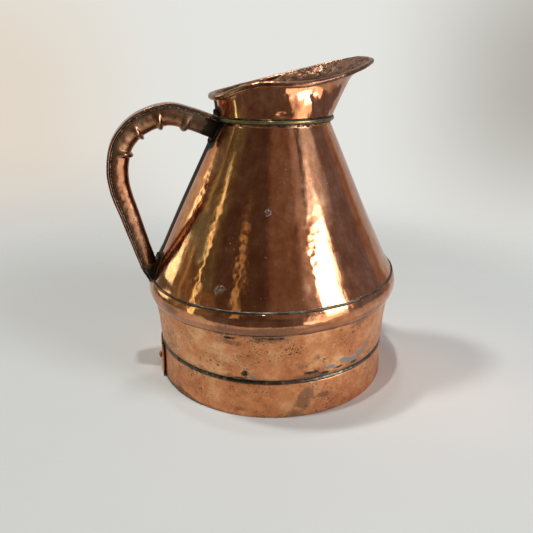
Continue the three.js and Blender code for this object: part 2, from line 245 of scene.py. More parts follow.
def addPiece(name, grid, material, node, marks=None, fanned=False):
    # grid is rows x columns x 3 of millimetres; the columns close on themselves, and the rows do
    # unless fanned is set, when each end row is closed by a fan to its middle
    marks = dict(marks or {})
    if "flow" not in marks:
        angle = np.arctan2(grid[..., 1], grid[..., 0])
        marks["flow"] = turned(flowRadius, angle, grid[..., 2]) * mm
    if fanned:
        first = np.broadcast_to(grid[:1].mean(axis=1, keepdims=True), grid[:1].shape)
        last = np.broadcast_to(grid[-1:].mean(axis=1, keepdims=True), grid[-1:].shape)
        grid = np.concatenate([first, grid, last])
        marks = {k: np.concatenate([v[:1], v, v[-1:]]) for k, v in marks.items()}
    grid = settle(grid)
    rows, columns = grid.shape[:2]
    row = np.arange(rows - 1 if fanned else rows)[:, None]
    column = np.arange(columns)[None, :]
    nextRow = (row + 1) % rows
    nextColumn = (column + 1) % columns
    quads = np.stack([row * columns + column, row * columns + nextColumn,
                      nextRow * columns + nextColumn, nextRow * columns + column], -1).reshape(-1, 4)
    points = grid.reshape(-1, 3) + [bandMiddle, 0, 0]
    mesh = makeMesh(name, points, quads, marks)
    if fanned:
        closePoles(mesh)
    mesh.materials.append(material)
    piece = bpy.data.objects.new(name, mesh)
    bpy.context.scene.collection.objects.link(piece)
    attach(piece, "root")
    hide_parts(node)
    print("made", name, len(quads) * 2, "triangles")


# Materials

class Shade:
    # one output socket of a node tree; arithmetic on it adds Math nodes

    def __init__(self, tree, socket=None):
        self.tree = tree
        self.socket = socket

    def node(self, kind, settings=None, inputs=None, output=0):
        made = self.tree.nodes.new("ShaderNode" + kind)
        settings = dict(settings or {})
        stops = settings.pop("stops", None)
        for name, value in settings.items():
            setattr(made, name, value)
        if stops:
            self.fillRamp(made.color_ramp, stops)
        for key, value in (inputs or {}).items():
            if isinstance(value, Shade):
                self.tree.links.new(value.socket, made.inputs[key])
            else:
                made.inputs[key].default_value = value
        return Shade(self.tree, made.outputs[output] if len(made.outputs) else None)

    def fillRamp(self, ramp, stops):
        while len(ramp.elements) < len(stops):
            ramp.elements.new(0.5)
        for element, (position, colour) in zip(ramp.elements, stops):
            element.position = position
            element.color = (*colour, 1)

    def calculate(self, operation, first, second):
        return self.node("Math", {"operation": operation}, {0: first, 1: second})

    def __add__(self, other):
        return self.calculate("ADD", self, other)

    def __radd__(self, other):
        return self.calculate("ADD", other, self)

    def __sub__(self, other):
        return self.calculate("SUBTRACT", self, other)

    def __rsub__(self, other):
        return self.calculate("SUBTRACT", other, self)

    def __mul__(self, other):
        return self.calculate("MULTIPLY", self, other)

    def __rmul__(self, other):
        return self.calculate("MULTIPLY", other, self)

    def atLeast(self, other):
        return self.calculate("MAXIMUM", self, other)

    def between(self, start, end):
        # 0 at start and 1 at end, smoothly
        return self.node("MapRange", {"interpolation_type": "SMOOTHSTEP"},
                         {"Value": self, "From Min": start, "From Max": end})

    def noise(self, place, scale, detail, roughness):
        return self.node("TexNoise", None,
                         {"Vector": place, "Scale": scale, "Detail": detail, "Roughness": roughness})

    def stretch(self, place, scale):
        return self.node("Mapping", None, {"Vector": place, "Scale": scale})

    def mark(self, name):
        return self.node("Attribute", {"attribute_name": name}, None, "Fac")

    def blend(self, share, first, second):
        # colours: first where share is 0 and second where it is 1
        return self.node("Mix", {"data_type": "RGBA"}, {0: share, 6: first, 7: second}, 2)


def rgba(colour):
    # a colour with no transparency
    return (*colour, 1)


# Noises that every metal here shares: scale per metre, detail and roughness
grains = {
    "broad": (17, 4, 0.6), "ragged": (46, 9, 0.7), "crumbs": (260, 6, 0.72), "scratch": (2200, 2, 0.6),
}

# What lies on the metal: a layer's colour, the values between which it sets in, the share of the colour
# below that it covers, what it adds to the roughness, and its height in mm
layers = {
    "tarnish": {"setsIn": (0.47, 0.62)},
    "matte": {"cover": 0.8, "rough": 0.12},
    "pits": {"colour": (0.045, 0.024, 0.015), "soft": 0.05, "cover": 0.85, "rough": 0.2, "height": -0.12},
    "olive": {"colour": (0.20, 0.135, 0.055), "setsIn": (0.35, 0.8), "cover": 0.6, "rough": 0.1},
    "solder": {"colour": (0.27, 0.29, 0.285), "setsIn": (0.42, 0.72), "cover": 0.85, "rough": 0.15,
               "height": 0.12},
    # the patina's near-black is real grime at the joints, and painted shade where a piece marks shade with
    # it
    "patinaAndShade": {"colour": (0.040, 0.025, 0.016), "setsIn": (0.34, 0.62), "rough": 0.3, "height": 0.1},
    "green": {"colour": (0.085, 0.098, 0.072), "setsIn": (0.3, 0.6)},
}


def copperMaterial(name, look):
    # metal whose colour runs over a ramp by broad, mottled and drawn-out noise, under a red tarnish, a
    # brown film, pits, green-black patina near the joints and grey solder smears, the film and the patina
    # also laying painted shade where a piece marks it; marks on the mesh say where each is strong, and
    # noise breaks its edge
    material = bpy.data.materials.new(name)
    material.use_nodes = True
    material.node_tree.nodes.clear()
    s = Shade(material.node_tree)
    place = s.node("TexCoord", None, None, "Object")
    flow = s.node("Attribute", {"attribute_name": "flow"}, None, "Vector")

    broad = s.noise(place, *grains["broad"])
    mottle = s.noise(place, look["mottleScale"], 7, 0.68)
    streak = s.noise(s.stretch(flow, (1, 1, look["drawn"])), look["streakScale"], 6, 0.65)
    scratch = s.noise(s.stretch(flow, (1, 1, 0.025)), *grains["scratch"])
    ragged = s.noise(place, *grains["ragged"])
    crumbs = s.noise(place, *grains["crumbs"])

    def covered(layer, share):
        # the colour so far, with a layer's own colour over a share of it
        return s.blend(share * layers[layer]["cover"], colour, rgba(layers[layer]["colour"]))

    tone = broad * 0.3 + mottle * 0.42 + streak * 0.28
    colour = s.node("ValToRGB", {"stops": look["tones"]}, {0: tone})
    tarnish = (ragged * 0.6 + crumbs * 0.4).between(*layers["tarnish"]["setsIn"])
    colour = s.blend(tarnish * look["tarnishShare"], colour, rgba(look["tarnish"]))
    matte = s.mark("matte")
    colour = s.blend(matte * layers["matte"]["cover"], colour, rgba(look["filmAndShade"]))

    # the brown film, and painted shade where a piece marks shade with the film's colour
    filmAndShade = ragged * 0.75 + crumbs * 0.25 + s.mark("filmAndShade") * 0.5
    filmAndShade = filmAndShade.between(look["filmStart"], look["filmStart"] + look["filmSoft"])
    colour = s.blend(filmAndShade * look["filmShare"], colour, rgba(look["filmAndShade"]))

    pits = s.noise(place, look["pitScale"], 3, 0.55) + s.mark("pitted") * 0.1 + (ragged - 0.5) * 0.6
    pits = pits.between(look["pitStart"], look["pitStart"] + layers["pits"]["soft"])
    colour = covered("pits", pits)

    olive = (s.mark("olive") + (ragged - 0.5) * 1.2).between(*layers["olive"]["setsIn"])
    colour = covered("olive", olive)

    solder = s.mark("solder") + (crumbs - 0.5) * 1.6 + (ragged - 0.5) * 1.2
    solder = solder.between(*layers["solder"]["setsIn"])
    colour = covered("solder", solder)

    # green-black patina at the joints, and painted shade where a piece marks shade with it
    patinaAndShade = s.mark("patinaAndShade") + (crumbs - 0.5) * 1.1 + (ragged - 0.5) * 0.6
    patinaAndShade = patinaAndShade.between(*layers["patinaAndShade"]["setsIn"])
    greenish = (s.mark("green") + (crumbs - 0.5) * 1.4).between(*layers["green"]["setsIn"])
    grimeAndShade = s.blend(greenish, rgba(layers["patinaAndShade"]["colour"]), rgba(layers["green"]["colour"]))
    colour = s.blend(patinaAndShade, colour, grimeAndShade)

    roughness = look["roughness"] + (streak - 0.5) * 0.3 + (scratch - 0.5) * 0.28 + (crumbs - 0.5) * 0.2
    roughness = roughness + filmAndShade * look["filmRough"]
    laid = {"patinaAndShade": patinaAndShade, "solder": solder, "pits": pits, "olive": olive, "matte": matte}
    for layer, share in laid.items():
        roughness = roughness + share * layers[layer]["rough"]
    metal = 1 - patinaAndShade * 0.7 - filmAndShade * 0.2 - olive * 0.3

    blow = s.node("TexVoronoi", {"feature": "SMOOTH_F1"},
                  {"Vector": place, "Scale": look["hammerScale"], "Smoothness": 0.4})
    height = blow * (s.mark("hammer") * 0.26 + look["hammerDepth"]) + mottle * look["mottleDepth"]
    height = height + scratch * 0.014 + crumbs * look["crumbDepth"]
    for layer in ("pits", "solder", "patinaAndShade"):
        height = height + laid[layer] * layers[layer]["height"]
    bump = s.node("Bump", None, {"Height": height, "Distance": mm, "Strength": 1})

    metalPart = s.node("BsdfPrincipled", None, {
        "Base Color": colour, "Roughness": roughness, "Metallic": metal, "Normal": bump})
    # the matt part carries the patina and its painted shade
    dirtAndShadePart = s.node("BsdfPrincipled", None, {
        "Base Color": colour, "Roughness": 1, "Specular IOR Level": 0, "Normal": bump})
    both = s.node("MixShader", None, {0: patinaAndShade * 0.75, 1: metalPart, 2: dirtAndShadePart})
    s.node("OutputMaterial", None, {"Surface": both})
    return material


polishedLook = {
    "tones": [(0.40, (0.46, 0.165, 0.07)), (0.50, (0.62, 0.25, 0.115)), (0.60, (0.76, 0.37, 0.20))],
    "tarnish": (0.42, 0.155, 0.085), "tarnishShare": 0.5,
    "filmAndShade": (0.22, 0.105, 0.058), "filmStart": 0.58, "filmShare": 0.6, "filmSoft": 0.14, "filmRough": 0.1,
    "drawn": 0.3, "streakScale": 150, "mottleScale": 90, "mottleDepth": 0.05,
    "pitScale": 420, "pitStart": 0.74,
    "hammerScale": 150, "hammerDepth": 0.05, "crumbDepth": 0.03,
    "roughness": 0.115,
}
dullLook = {
    **polishedLook,
    "tones": [(0.40, (0.50, 0.185, 0.075)), (0.50, (0.71, 0.30, 0.13)), (0.60, (0.86, 0.49, 0.25))],
    "tarnish": (0.46, 0.15, 0.065),
    "filmAndShade": (0.21, 0.095, 0.052), "filmStart": 0.56, "filmShare": 0.75, "filmSoft": 0.2,
    "drawn": 0.5, "streakScale": 80,
    "pitScale": 620, "pitStart": 0.665,
    "hammerScale": 110, "hammerDepth": 0.06, "crumbDepth": 0.06,
    "roughness": 0.4,
}
brownLook = {
    **polishedLook,
    "tones": [(0.40, (0.21, 0.09, 0.046)), (0.50, (0.33, 0.155, 0.082)), (0.60, (0.45, 0.25, 0.14))],
    "tarnish": (0.26, 0.085, 0.05), "filmAndShade": (0.085, 0.038, 0.026), "filmStart": 0.56, "filmShare": 0.75,
    "streakScale": 90, "hammerScale": 190, "hammerDepth": 0.035,
    "roughness": 0.2,
}
brassLook = {
    **polishedLook,
    "tones": [(0.40, (0.24, 0.165, 0.06)), (0.50, (0.42, 0.30, 0.115)), (0.60, (0.64, 0.49, 0.23))],
    "tarnish": (0.22, 0.16, 0.06), "filmAndShade": (0.10, 0.09, 0.045), "filmStart": 0.52, "roughness": 0.26,
}
solderLook = {
    **polishedLook,
    "tones": [(0.40, (0.040, 0.034, 0.026)), (0.50, (0.085, 0.077, 0.060)), (0.60, (0.27, 0.26, 0.22))],
    "tarnish": (0.06, 0.045, 0.03), "filmAndShade": (0.05, 0.036, 0.025), "filmStart": 0.54, "filmShare": 0.8,
    "drawn": 1, "streakScale": 240, "mottleScale": 190, "hammerScale": 260, "hammerDepth": 0.15,
    "roughness": 0.4,
}

polishedCopper = copperMaterial("polishedCopper", polishedLook)
dullCopper = copperMaterial("dullCopper", dullLook)
brownCopper = copperMaterial("brownCopper", brownLook)
rubbedBrass = copperMaterial("rubbedBrass", brassLook)
greySolder = copperMaterial("greySolder", solderLook)
print("materials done")


# Foot and base

foot = {
    "height": 35, "radius": 118.2, "topRadius": 117.5, "sheet": 1.4, "edge": 0.7,
    "points": 26, "turns": 720,
    "waves": [(0.12, (26, 26, 40), 11)], "hammered": [(0.03, 9, 12)], "inset": 0.15, "lowest": 0.03,
    "lap": 14, "lapEnd": 188, "lapLift": 0.9, "lapStep": 1.85,
    # the soot patches are painted contact shadow along the bottom at the left, where the foot meets the
    # table
    "sootAndShade": [(-160, 0, 40, 3.5), (-145, 0, 30, 2.5)],
    "stainsAndShade": [(-87, 24, 7, 7), (-90, 14, 8, 8), (-93, 4, 9, 6), (-79, 19, 9, 2.5), (-152, 2, 34, 5),
               (-118, 8, 9, 4)],
}


def footBand():
    # the band's upright section carried round a full turn and a lap; where it passes over its own
    # start it steps out by the sheet, and its end springs further away
    f = foot
    ends = np.array([[f["radius"], f["edge"]], [f["topRadius"], f["height"] - f["edge"]]])
    section = sheetSection(evenly(ends, f["points"]), f["sheet"], 2)
    lap = math.radians(f["lap"])
    run = np.linspace(0, fullTurn + lap, f["turns"])[:, None]
    away = f["lapStep"] * smoothStep(run, fullTurn - lap, fullTurn - lap * 0.2)
    away = away + f["lapLift"] * smoothStep(run, fullTurn + lap * 0.4, fullTurn + lap)
    angle = math.radians(f["lapEnd"]) - lap + run
    radius = section[:, 0] + away
    height = np.broadcast_to(section[:, 1], radius.shape)
    points = turned(radius, angle, height)
    radius = radius + uneven(points, f["waves"], f["hammered"]) - f["inset"]
    grid = turned(radius, angle, np.maximum(height, f["lowest"]))
    upperEdge = smoothStep(height, f["height"] - 0.7, f["height"] - 0.1)
    marks = {
        # the film over the lowest 5 mm is painted shade where the foot meets the table
        "filmAndShade": 0.6 * patches(grid, f["stainsAndShade"]) + 0.25 * (1 - smoothStep(height, 0, 5)),
        "patinaAndShade": 0.5 * upperEdge + 0.55 * patches(grid, f["sootAndShade"]),
        "pitted": np.full(height.shape, 0.2),
    }
    addPiece("footBand", grid, dullCopper, "foot_band", marks, fanned=True)


footBand()

base = {
    "under": 28, "sheet": 1.4, "gap": 1.05, "points": 60, "turns": 240,
    "waves": [(0.3, 30, 21)], "hammered": [(0.08, 12, 22)], "flatFrom": (95, 110), "dark": (104, 113),
}


def basePlate():
    # a flat disc with a half-round edge; its middle is hammered a little up and down
    b = base
    half = b["sheet"] / 2
    reach = foot["topRadius"] - 2 * foot["sheet"] - b["gap"] - half
    out = np.linspace(0, reach, b["points"])
    turn = np.linspace(-np.pi / 2, np.pi / 2, 7)[1:-1]
    edge = np.stack([reach + half * np.cos(turn), b["under"] + half + half * np.sin(turn)], 1)
    lower = np.stack([out, np.full(b["points"], b["under"])], 1)
    upper = np.stack([out[::-1], np.full(b["points"], b["under"] + b["sheet"])], 1)
    profile = np.vstack([lower, edge, upper])
    angle = np.linspace(0, fullTurn, b["turns"], endpoint=False)[None, :]
    radius = profile[:, :1] + 0 * angle
    grid = turned(radius, angle, profile[:, 1:])
    fade = 1 - smoothStep(radius, *b["flatFrom"])
    grid[..., 2] += fade * uneven(grid * [1, 1, 0], b["waves"], b["hammered"])
    marks = {"filmAndShade": np.full(radius.shape, 0.3), "patinaAndShade": 0.8 * smoothStep(radius, *b["dark"])}
    addPiece("basePlate", grid, dullCopper, "base_plate", marks, fanned=True)


def bead(name, node, section, spread, seed):
    # a ring of solder: its section grows and shrinks about its first point by lumps
    sides, turns = 10, 720
    section = np.array(section, float)
    outline = evenly(np.vstack([section, section[:1]]), sides + 1)[:-1]
    grid = carried(outline, turns)
    root = carried(section[:1], turns)
    size = 1 + spread * uneven(root, [(0.6, 7, seed), (0.4, 2.6, seed + 1)])
    grid = root + (grid - root) * size[..., None]
    addPiece(name, grid, greySolder, node)


rivet = {
    "inside": 116.1, "through": 4.35, "shank": 1.9, "head": 3.6, "height": 18, "azimuth": 181, "turns": 40,
}


def footRivet():
    # a lathe-turned rivet laid along the handle's side, with a hammered dome outside and a flat head inside
    r = rivet
    outside = r["inside"] + r["through"]
    dome = curveThrough([[0.02, outside + 2.1], [1.6, outside + 1.9], [3.1, outside + 1.2],
                         [r["head"], outside + 0.3], [r["head"] - 0.4, outside - 0.1]], 16)
    rest = [[r["shank"], outside - 0.1], [r["shank"], r["inside"]], [3.2, r["inside"]],
            [2.6, r["inside"] - 1], [0.02, r["inside"] - 1.2]]
    profile = np.vstack([dome, rest])
    angle = np.linspace(0, fullTurn, r["turns"], endpoint=False)[None, :]
    out = profile[:, :1] * (1 + 0.04 * np.cos(3 * angle + 1))
    along = profile[:, 1:] + 0 * angle
    turn = math.radians(r["azimuth"])
    x = along * math.cos(turn) - out * np.cos(angle) * math.sin(turn)
    y = along * math.sin(turn) + out * np.cos(angle) * math.cos(turn)
    grid = np.stack([x, y, out * np.sin(angle) + r["height"]], -1)
    marks = {"filmAndShade": np.full(x.shape, 0.4)}
    addPiece("footRivet", grid, dullCopper, "foot_rivet", marks, fanned=True)


basePlate()
footRivet()
bead("baseSolder", "base_solder", [[115.7, 27.6], [115.7, 25.7], [112, 27.55]], 0.3, 31)
bead("footSolder", "foot_solder",
     [[116.1, 35.3], [117.75, 35.35], [117.3, 36.9], [116.4, 38.2], [115.9, 36.8]], 0.35, 33)


# Drum, shoulder band and cone

drum = {
    "line": [[115.75, 28.7], [115.75, 33], [115.8, 36.6], [117.3, 40.5], [118, 45], [119.4, 66],
             [121.3, 80], [121.9, 86], [121.9, 94.3]],
    "sheet": 1.4, "points": 62, "turns": 620,
    "waves": [(0.28, (34, 34, 30), 41)], "hammered": [(0.05, 13, 42)], "workedFrom": (37, 46),
    "dents": [(-118, 70, 26, 16, 0.5), (-60, 62, 22, 18, 0.45), (30, 60, 30, 20, 0.8),
              (120, 72, 24, 15, 0.7)],
    "smears": [(-112, 42, 5, 2.4), (-76, 47, 7, 3.4), (-69, 50, 10, 3), (-64, 47, 10, 4.4),
               (-59, 51, 9, 4.4), (-54, 55, 7, 3), (40, 44, 12, 3)],
    # soot and stains from 76 mm up: painted shade under the band's overhang; lower ones are real grime
    "sootAndShade": [(-115.5, 45, 5, 5), (-118, 40, 9, 2), (-86, 45, 10, 3), (-79, 42, 8, 2.4), (-72, 44, 8, 2),
             (-63, 43, 9, 2), (-104, 84, 20, 1.6), (-122, 83, 10, 2), (-66, 76, 3, 2), (-73, 83, 4, 1.5),
             (-128, 50, 2.5, 1.5)],
    "stainsAndShade": [(-90.5, 53, 8, 5), (-84, 59, 6, 4), (-104, 83, 30, 4), (-122, 78, 14, 4), (-86, 42, 14, 4),
               (-62, 84, 12, 4), (150, 60, 14, 10), (60, 70, 20, 10)],
    "pits": [(-71.2, 73, 7, 5), (-82, 82, 8, 3.5), (-110, 82, 18, 6), (-128, 52, 12, 5), (-100, 70, 24, 9),
             (-63, 60, 10, 8)],
}


def lowerBody():
    # the drum's wall: straight inside the foot band, a step out, then a slight flare
    d = drum
    line = evenly(curveThrough(d["line"], 300), d["points"])
    section = sheetSection(line, d["sheet"])

    def push(points):
        worked = smoothStep(points[..., 2], *d["workedFrom"])
        return (uneven(points, d["waves"], d["hammered"]) + dents(points, d["dents"])) * worked

    grid = carried(section, d["turns"], push)
    height = grid[..., 2]
    sootAndShade = patches(grid, d["sootAndShade"])
    filmAndShade = 0.45 * patches(grid, d["stainsAndShade"]) + 0.2 * (1 - smoothStep(height, 40, 47))
    # film and patina at the top: painted shadow under the band's overhang, over the solder's dark
    marks = {
        "patinaAndShade": np.maximum.reduce([0.8 * (1 - smoothStep(height, 35.5, 40.5)),
                                     0.5 * smoothStep(height, 85.5, 88), 0.68 * sootAndShade]),
        "green": 0.5 * (1 - smoothStep(height, 36, 42)) + 0.4 * sootAndShade,
        "solder": patches(grid, d["smears"]),
        "filmAndShade": filmAndShade + 0.25 * smoothStep(height, 83, 87),
        "pitted": patches(grid, d["pits"]),
    }
    addPiece("lowerBody", grid, dullCopper, "lower_body", marks)


band = {
    "lower": [[124.6, 88.7], [126.0, 91.5], [126.8, 94.4]],
    "upper": [[127.2, 95.0], [127.4, 98], [127.2, 101], [126.7, 103.8], [125.9, 106.2], [125.1, 107.9]],
    "sheet": 1.3, "lowerPoints": 12, "upperPoints": 26, "turns": 760,
    "waves": [(0.16, (16, 16, 12), 51)], "hammered": [(0.05, 8, 52)], "inset": 0.2,
    "lapAzimuth": -63.2, "lapHeight": 0.35, "lapStep": 1.2, "lapFades": (4, 60), "lapDirt": 0.8,
    "clean": [(-62, 100, 34, 9)],
    # the stains are painted shade, darkening the strip's front where it mirrors the shaded table
    "stainsAndShade": [(-108, 92, 36, 4.6), (-104, 95.4, 22, 1.6), (-124, 88, 16, 1.6), (-150, 98, 12, 4),
               (-84, 96, 16, 1.2)],
}


def shoulderBand():
    # a plain strip below a crease and a rounded one above it, with the step of its lap
    b = band
    lower = curveThrough(b["lower"], b["lowerPoints"])
    upper = curveThrough(b["upper"], b["upperPoints"])
    section = sheetSection(np.vstack([lower, upper]), b["sheet"], 2)

    def push(points):
        across, _ = spotOn(points, b["lapAzimuth"], 0)
        step = smoothStep(across, -b["lapStep"], 0) * (1 - smoothStep(across, *b["lapFades"]))
        return uneven(points, b["waves"], b["hammered"]) - b["lapHeight"] * step - b["inset"]

    grid = carried(section, b["turns"], push)
    height = grid[..., 2]
    across, _ = spotOn(grid, b["lapAzimuth"], 0)
    crease = smoothStep(height, 93.4, 94.4) * (1 - smoothStep(height, 94.6, 95.6))
    stainsAndShade = patches(grid, b["stainsAndShade"])
    # lowest edge's patina: solder dark plus painted gap shadow; the stains: painted shade
    marks = {
        "patinaAndShade": np.maximum(0.62 * (1 - smoothStep(height, 88, 89.4)),
                             0.5 * np.exp(-(across / b["lapDirt"]) ** 2)),
        "filmAndShade": 0.35 * crease + 0.7 * stainsAndShade - 0.6 * patches(grid, b["clean"]),
        "matte": 0.4 * (1 - smoothStep(height, 94.2, 95.2)) + 0.5 * stainsAndShade,
        "hammer": 0.5 * smoothStep(height, 95, 98),
    }
    addPiece("shoulderBand", grid, polishedCopper, "shoulder_band", marks)


cone = {
    "line": [[123.6, 104.1], [123.6, 109.3], [54.8, 254.6], [54.4, 256.2], [54.4, 265.1]],
    "points": (4, 112, 9), "sheet": 1.4, "turns": 550, "inset": 0.12,
    "waves": [(0.13, (13, 13, 80), 61), (0.05, (6, 6, 22), 62)], "hammered": [(0.05, (7, 7, 9), 63)],
    "workedFrom": (109, 116), "workedTo": (246, 254),
    "dents": [(-133, 150, 16, 30, 0.35), (-100, 150, 14, 40, -0.2), (-70, 215, 8, 24, 0.2),
              (60, 160, 30, 30, 0.8), (130, 140, 24, 24, 0.7), (-20, 170, 20, 30, 0.4)],
    "smears": [(-106, 186.8, 3, 2.6), (-124.8, 126.3, 4.6, 4), (-127, 124, 3, 5), (95, 150, 5, 4)],
    "joints": [(180, 252, 13, 14), (180, 120, 10.5, 11)], "jointReach": 13,
    "olive": [(-146, 168, 12, 20), (-150, 225, 10, 26), (-141, 150, 8, 16)],
    "planished": [(-156, 195, 9, 26), (-138, 148, 7, 26), (-138, 125, 8, 22), (-119, 140, 7, 30),
                  (-83, 142, 7, 30)],
    "seam": 180, "seamHalf": (6.5, 10.5),
}


def nearJoints(points):
    # 1 where the handle is soldered on, falling smoothly to 0 at jointReach mm outside the joint
    total = np.zeros(points.shape[:-1])
    for azimuth, height, breadth, tall in cone["joints"]:
        across, up = spotOn(points, azimuth, height)
        outside = np.hypot(np.maximum(np.abs(across) - breadth, 0), np.maximum(np.abs(up) - tall, 0))
        total = np.maximum(total, 1 - smoothStep(outside, 0, cone["jointReach"]))
    return total


def seamAndShade(points):
    # the sheet's upright joint, darkened with painted shade in a strip behind the handle: more than
    # full within the seam's half breadth, falling smoothly to 0
    across, _ = spotOn(points, cone["seam"], 0)
    return 1.3 * (1 - smoothStep(np.abs(across), *cone["seamHalf"]))


def coneBody():
    # the cone's straight wall and the spigot that stands inside the neck
    c = cone
    line = np.array(c["line"])
    low, wall, spigot = (evenly(part, n) for part, n in zip((line[:2], line[1:3], line[2:]), c["points"]))
    section = sheetSection(np.vstack([low[:-1], wall[:-1], spigot]), c["sheet"])

    def push(points):
        height = points[..., 2]
        worked = smoothStep(height, *c["workedFrom"]) * (1 - smoothStep(height, *c["workedTo"]))
        marks = uneven(points, (), c["hammered"]) * (0.6 + 0.6 * lumps(points, 40, 64))
        return (uneven(points, c["waves"]) + marks + dents(points, c["dents"])) * worked - c["inset"]

    grid = carried(section, c["turns"], push)
    height = grid[..., 2]
    marks = {
        "patinaAndShade": np.maximum.reduce([0.8 * nearJoints(grid), 0.75 * (1 - smoothStep(height, 109.4, 111.2)),
                                     0.5 * smoothStep(height, 254, 254.8), seamAndShade(grid)]),
        "green": 0.3 * nearJoints(grid),
        "olive": 0.95 * patches(grid, c["olive"]),
        "solder": 0.85 * patches(grid, c["smears"]),
        "filmAndShade": 0.12 * lumps(grid, 30, 65),
        "hammer": patches(grid, c["planished"]),
    }
    addPiece("coneBody", grid, polishedCopper, "cone_body", marks)


lowerBody()
shoulderBand()
coneBody()
bead("bandSolder", "band_solder", [[122.2, 87.9], [123.4, 88], [122.5, 86.6], [121.8, 87.2]], 0.5, 71)
bead("shoulderSolder", "shoulder_solder",
     [[123.6, 108.9], [124.9, 108.5], [124.8, 109.3], [124.1, 110.3], [123.2, 110]], 0.3, 73)


# Neck

neck = {
    "bottom": 261.35, "radius": 56.15, "sheet": 1.4, "turns": 600, "points": 46,
    "rimRadius": 59.2, "spoutReach": 34, "kink": 0.62, "rimHeight": 288.6, "rimSlope": 0.199,
    "rimCurl": 2.05, "squareness": 1.5, "twist": 3.8, "wave": 6.9, "waveAngle": -119, "waveWidth": 26,
    "waves": [(0.35, (9, 9, 14), 81), (0.2, (4.5, 4.5, 7), 82)], "hammered": [(0.1, 6, 83)],
    "creases": [(0.7, (6, 6, 6), 84), (0.5, (2.8, 2.8, 2.8), 85)], "creaseInset": 0.6,
    # the soot is painted shade inside the dent at -96.5 degrees
    "sootAndShade": [(-97, 265.4, 3, 1.4)],
    "dents": [(-96.5, 265.6, 5.5, 2.2, 2.0), (-112, 278, 2.5, 16, 0.6), (-117, 276, 2.5, 16, -0.4),
              (-71, 289, 15, 10, 4.0), (-92, 276, 12, 7, 0.5), (-104, 270, 9, 6, 0.5),
              (-55, 278, 12, 10, 0.5), (-128, 274, 8, 10, 0.4), (-70, 272, 8, 6, -0.4)],
}


def rimPoint(angle):
    # middle of the wired edge: a circle drawn out by the reach times the square of how far round to the
    # front it is, squared a little on both sides of the spout, on a slope that curls up, with a twist at
    # the spout and one bent-up wave
    n = neck
    front = (1 + np.cos(angle)) / 2
    x = n["rimRadius"] * np.cos(angle) + n["spoutReach"] * front ** 2
    off = np.degrees(np.abs((angle + np.pi) % fullTurn - np.pi))
    x = x + n["squareness"] * (np.exp(-((off - 21) / 10) ** 2) - 0.7 * np.exp(-(off / 11) ** 2))
    turn = (angle - math.radians(n["waveAngle"]) + np.pi) % fullTurn - np.pi
    wave = n["wave"] * np.exp(-((turn / math.radians(n["waveWidth"])) ** 2))
    twist = n["twist"] * np.sin(angle) * front ** 1.5
    z = n["rimHeight"] + n["rimSlope"] * x + n["rimCurl"] * (x / 60) ** 2 + twist + wave
    return np.stack([x, n["rimRadius"] * np.sin(angle), z], -1)


def collarPoint(angle, rise):
    # from the neck's circle at rise 0 to the rim at rise 1; at the back it spreads late, as a power of the
    # rise, and under the spout steadily, then faster past a kink where the lip is bent out
    n = neck
    front = (1 + np.cos(angle)) / 2
    circle = turned(n["radius"], angle, n["bottom"])
    edge = rimPoint(angle)
    bent = np.clip((rise - n["kink"]) / (1 - n["kink"]), 0, 1) ** 2
    spread = mix(rise ** 4.5, 0.64 * rise + 0.36 * bent, front)[..., None]
    flat = mix(circle[..., :2], edge[..., :2], spread)
    height = mix(circle[..., 2], edge[..., 2], rise)
    return np.concatenate([flat, height[..., None]], -1)


def neckCollar():
    # one sheet between the two circles, dented and crumpled, with its inside a sheet's thickness away
    # and creased near the rim, less towards the spout
    n = neck
    angle = np.linspace(0, fullTurn, n["turns"], endpoint=False)[:, None]
    rise = (1 - (1 - np.linspace(0, 1, n["points"])) ** 1.2)[None, :]
    angle, rise = np.broadcast_arrays(angle, np.maximum(rise, 1e-6))
    outer = collarPoint(angle, rise)
    up = np.gradient(outer, axis=1)
    around = np.roll(outer, -1, axis=0) - np.roll(outer, 1, axis=0)
    outward = unit(np.cross(around, up))
    belowRim = 1 - smoothStep(rise, 0.96, 1)
    loose = 0.55 + 0.8 * smoothStep(rise, 0.1, 0.9)
    crumple = uneven(outer, n["waves"]) * loose + uneven(outer, (), n["hammered"])
    crumple = crumple + dents(outer, n["dents"])
    outer = outer + outward * (crumple * belowRim)[..., None]
    towardsSpout = 1 - 0.6 * smoothStep(outer[..., 0], 10, 60)
    creased = n["creaseInset"] + uneven(outer, n["creases"]) * towardsSpout
    creased = creased * smoothStep(rise, 0.4, 0.7) * belowRim
    inner = outer - outward * (n["sheet"] + creased)[..., None]
    grid = np.concatenate([outer, inner[:, ::-1]], axis=1)
    within = np.concatenate([0 * rise, 0 * rise + 1], axis=1)
    rises = np.concatenate([rise, rise[:, ::-1]], axis=1)
    front = (1 + np.cos(np.arctan2(grid[..., 1], grid[..., 0]))) / 2
    marks = {
        "patinaAndShade": np.maximum.reduce([0.5 * (1 - smoothStep(rises, 0, 0.03)), 0.7 * nearJoints(grid),
                                     seamAndShade(grid), 0.44 * within, 0.9 * patches(grid, n["sootAndShade"])]),
        "matte": within * (0.7 + 0.3 * front),
        "filmAndShade": 0.9 * within,
    }
    addPiece("neckCollar", grid, polishedCopper, "neck_collar", marks)


def loopTube(centre, radius, sides, reference):
    # a tube round a closed line of points; radius is rows x sides, measured from the line
    along = unit(np.roll(centre, -1, axis=0) - np.roll(centre, 1, axis=0))
    side = unit(np.cross(along, reference))
    up = np.cross(side, along)
    turn = np.linspace(0, fullTurn, sides, endpoint=False)[None, :, None]
    return centre[:, None] + radius[..., None] * (side[:, None] * np.cos(turn) + up[:, None] * np.sin(turn))


